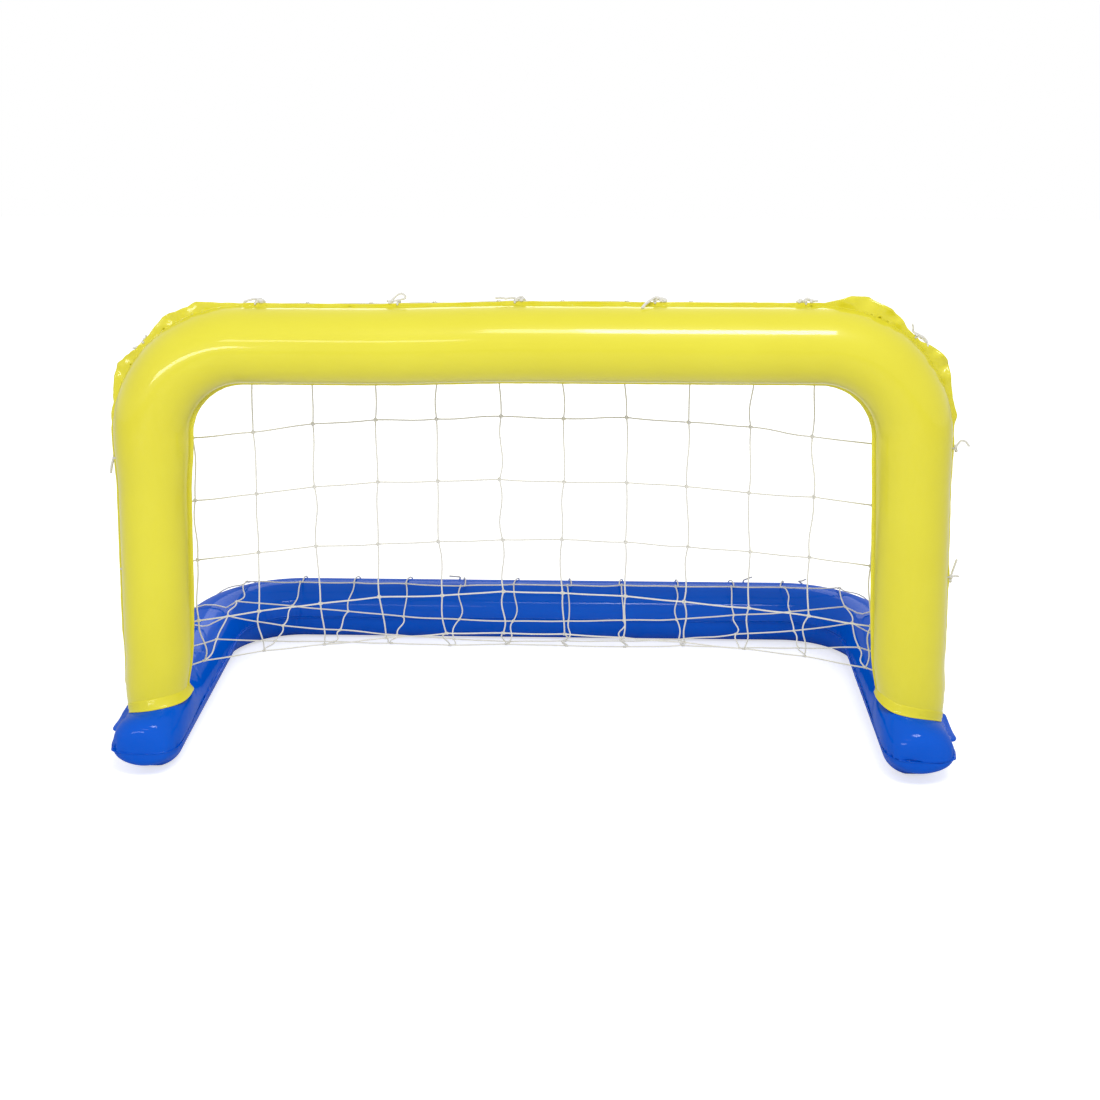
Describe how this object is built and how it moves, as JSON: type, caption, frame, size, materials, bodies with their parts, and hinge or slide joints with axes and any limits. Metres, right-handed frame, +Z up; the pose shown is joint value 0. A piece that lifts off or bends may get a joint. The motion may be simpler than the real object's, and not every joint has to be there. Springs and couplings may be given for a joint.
{
  "type": "water polo goal",
  "caption": "Inflatable floating pool goal: a tube arch stands on a U-shaped tube base, with a knotted cord net tied behind the mouth.",
  "frame": {"origin": "on the floor under the middle of the goal's box", "axes": "+X to the goal's right seen from the front, +Y from the mouth back to the rear tube, +Z up"},
  "size_m": [1.4136, 0.7188, 0.797],
  "materials": {
    "yellow_vinyl": "smooth inflated vinyl, semi-gloss",
    "blue_vinyl": "smooth inflated vinyl, glossy",
    "valve_vinyl": "soft moulded vinyl, milky",
    "net_cord": "twisted matt cord"
  },
  "bodies": {
    "root": {"arch_front_panel": "yellow_vinyl", "arch_rear_panel": "yellow_vinyl", "base_top_panel": "blue_vinyl", "base_bottom_panel": "blue_vinyl", "left_post_end_disc": "yellow_vinyl", "right_post_end_disc": "yellow_vinyl", "left_post_hem": "yellow_vinyl", "right_post_hem": "yellow_vinyl", "left_side_tab": "blue_vinyl", "right_side_tab": "blue_vinyl", "arch_valve_flange": "valve_vinyl", "base_valve_flange": "valve_vinyl", "net": "net_cord", "arch_tie_1": "net_cord", "arch_tie_2": "net_cord", "arch_tie_3": "net_cord", "arch_tie_4": "net_cord", "arch_tie_5": "net_cord", "arch_tie_6": "net_cord", "arch_tie_7": "net_cord", "arch_tie_8": "net_cord", "arch_tie_9": "net_cord", "arch_tie_10": "net_cord", "arch_tie_11": "net_cord", "base_tie_1": "net_cord", "base_tie_2": "net_cord", "base_tie_3": "net_cord", "base_tie_4": "net_cord", "base_tie_5": "net_cord", "base_tie_6": "net_cord", "base_tie_7": "net_cord"},
    "arch_valve": {"arch_valve_stem": "valve_vinyl", "arch_valve_flap": "valve_vinyl"},
    "arch_plug": {"arch_valve_plug": "valve_vinyl"},
    "base_valve": {"base_valve_stem": "valve_vinyl", "base_valve_flap": "valve_vinyl"},
    "base_plug": {"base_valve_plug": "valve_vinyl"}
  },
  "joints": [
    {"name": "arch_valve_push", "type": "slide", "parent": "root", "child": "arch_valve", "axis": [0, -1, 0], "range_m": [0, 0.006]},
    {"name": "arch_plug_hinge", "type": "hinge", "parent": "arch_valve", "child": "arch_plug", "pos_m": [0.59585, -0.18842, 0.385], "axis": [0, 0, 1], "range_deg": [0, 150]},
    {"name": "base_valve_push", "type": "slide", "parent": "root", "child": "base_valve", "axis": [0, -0.8192, 0.5736], "range_m": [0, 0.006]},
    {"name": "base_plug_hinge", "type": "hinge", "parent": "base_valve", "child": "base_plug", "pos_m": [0.288, 0.34326, 0.01637], "axis": [0, 0.5736, 0.8192], "range_deg": [0, 150]}
  ]
}
